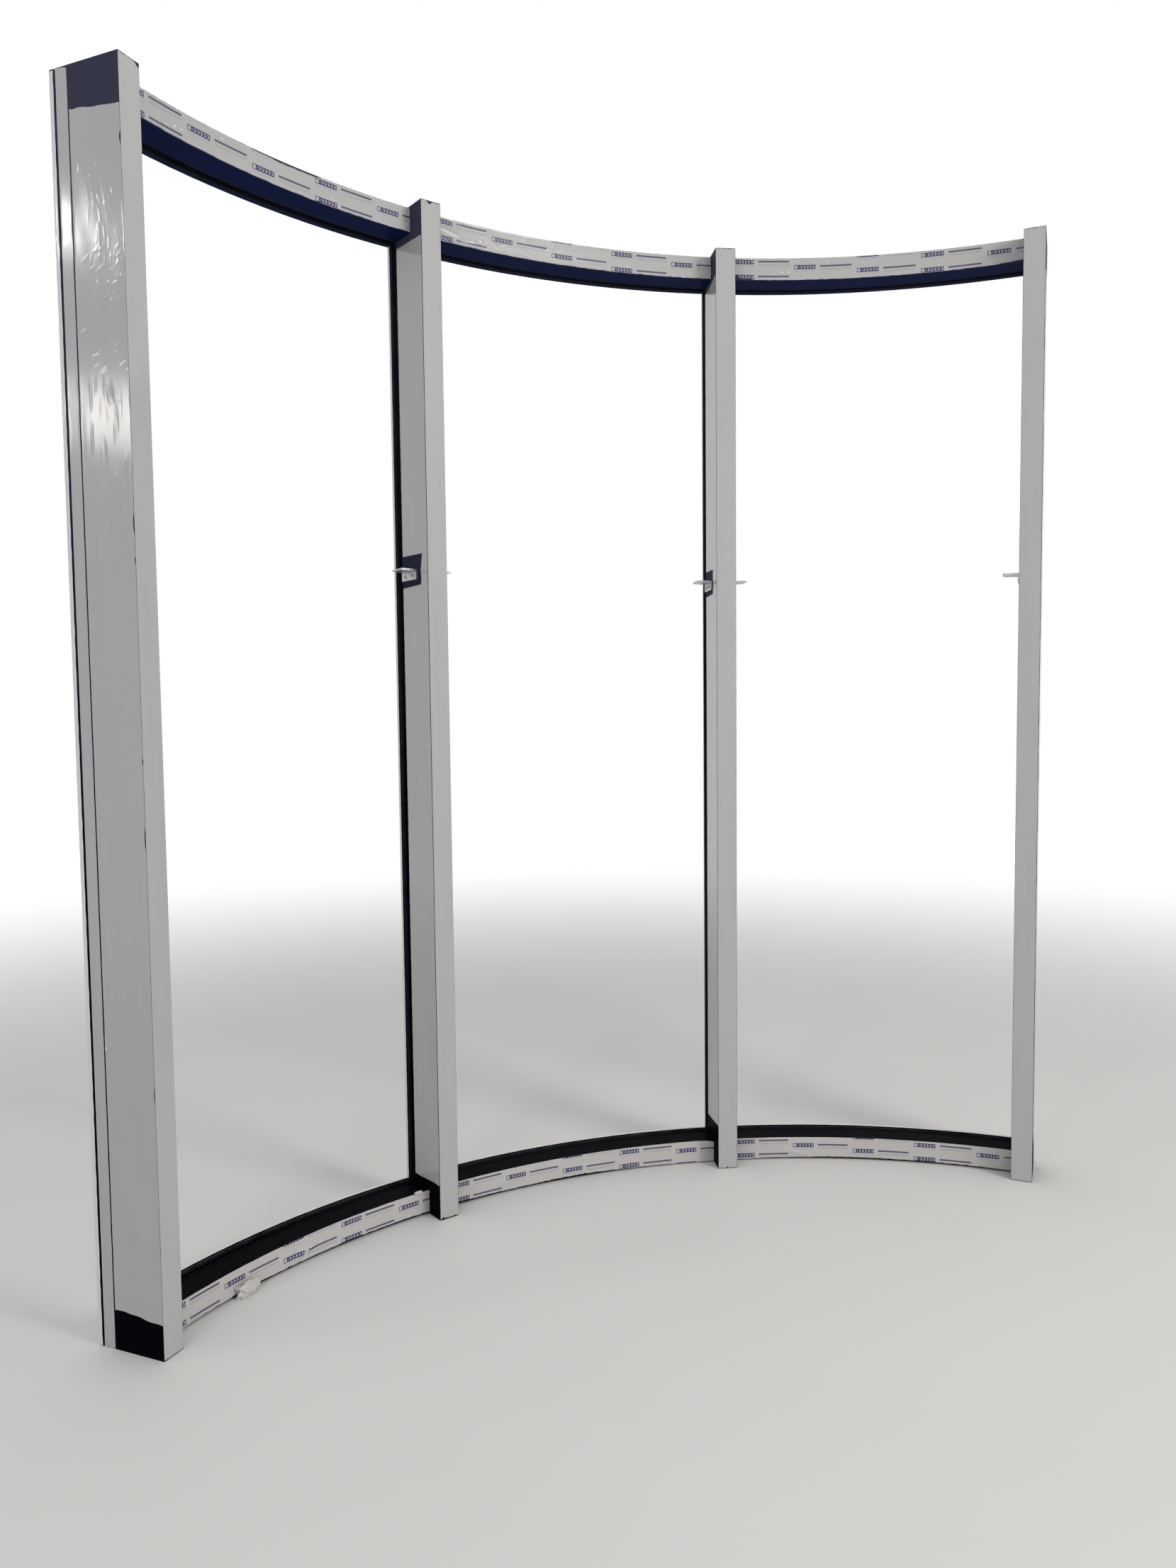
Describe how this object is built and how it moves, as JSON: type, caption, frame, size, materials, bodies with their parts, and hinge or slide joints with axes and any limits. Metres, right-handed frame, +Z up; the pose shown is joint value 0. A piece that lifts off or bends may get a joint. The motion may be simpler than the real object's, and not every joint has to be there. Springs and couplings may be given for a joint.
{
  "type": "curved fixed window",
  "caption": "Unglazed fixed window frame bent to an arc in plan, with upright posts, bent head and sill rails, glazing pockets and transom cleats.",
  "frame": {"origin": "on the floor, under the middle of the frame's bounding box", "axes": "+Z up; +X to the right for someone on the room side, along the chord of the arc; +Y from the room to the weather side, so the hollow side of the arc faces -Y"},
  "size_m": [2.7326, 0.7121, 2.8],
  "materials": {
    "powder_coat": "blue-black powder coat, satin",
    "insulating_strip": "black glass-filled polyamide, matte",
    "seal_rubber": "black EPDM, matte",
    "cleat_metal": "galvanised, dull silver",
    "protective_film": "white peel-off film, glossy and slightly wrinkled"
  },
  "bodies": {
    "root": {"post_1_box": "powder_coat", "post_1_break": "insulating_strip", "post_1_cap": "powder_coat", "post_2_box": "powder_coat", "post_2_break": "insulating_strip", "post_2_cap": "powder_coat", "post_3_box": "powder_coat", "post_3_break": "insulating_strip", "post_3_cap": "powder_coat", "post_4_box": "powder_coat", "post_4_break": "insulating_strip", "post_4_cap": "powder_coat", "sill_1_box": "powder_coat", "sill_1_break": "insulating_strip", "sill_1_cap": "powder_coat", "sill_2_box": "powder_coat", "sill_2_break": "insulating_strip", "sill_2_cap": "powder_coat", "sill_3_box": "powder_coat", "sill_3_break": "insulating_strip", "sill_3_cap": "powder_coat", "head_1_box": "powder_coat", "head_1_break": "insulating_strip", "head_1_cap": "powder_coat", "head_2_box": "powder_coat", "head_2_break": "insulating_strip", "head_2_cap": "powder_coat", "head_3_box": "powder_coat", "head_3_break": "insulating_strip", "head_3_cap": "powder_coat", "bay_1_inner_seal": "seal_rubber", "bay_1_outer_seal": "seal_rubber", "cleat_1_left": "cleat_metal", "cleat_1_right": "cleat_metal", "bay_2_inner_seal": "seal_rubber", "bay_2_outer_seal": "seal_rubber", "cleat_2_left": "cleat_metal", "cleat_2_right": "cleat_metal", "bay_3_inner_seal": "seal_rubber", "bay_3_outer_seal": "seal_rubber", "cleat_3_left": "cleat_metal", "cleat_3_right": "cleat_metal"}
  },
  "joints": []
}
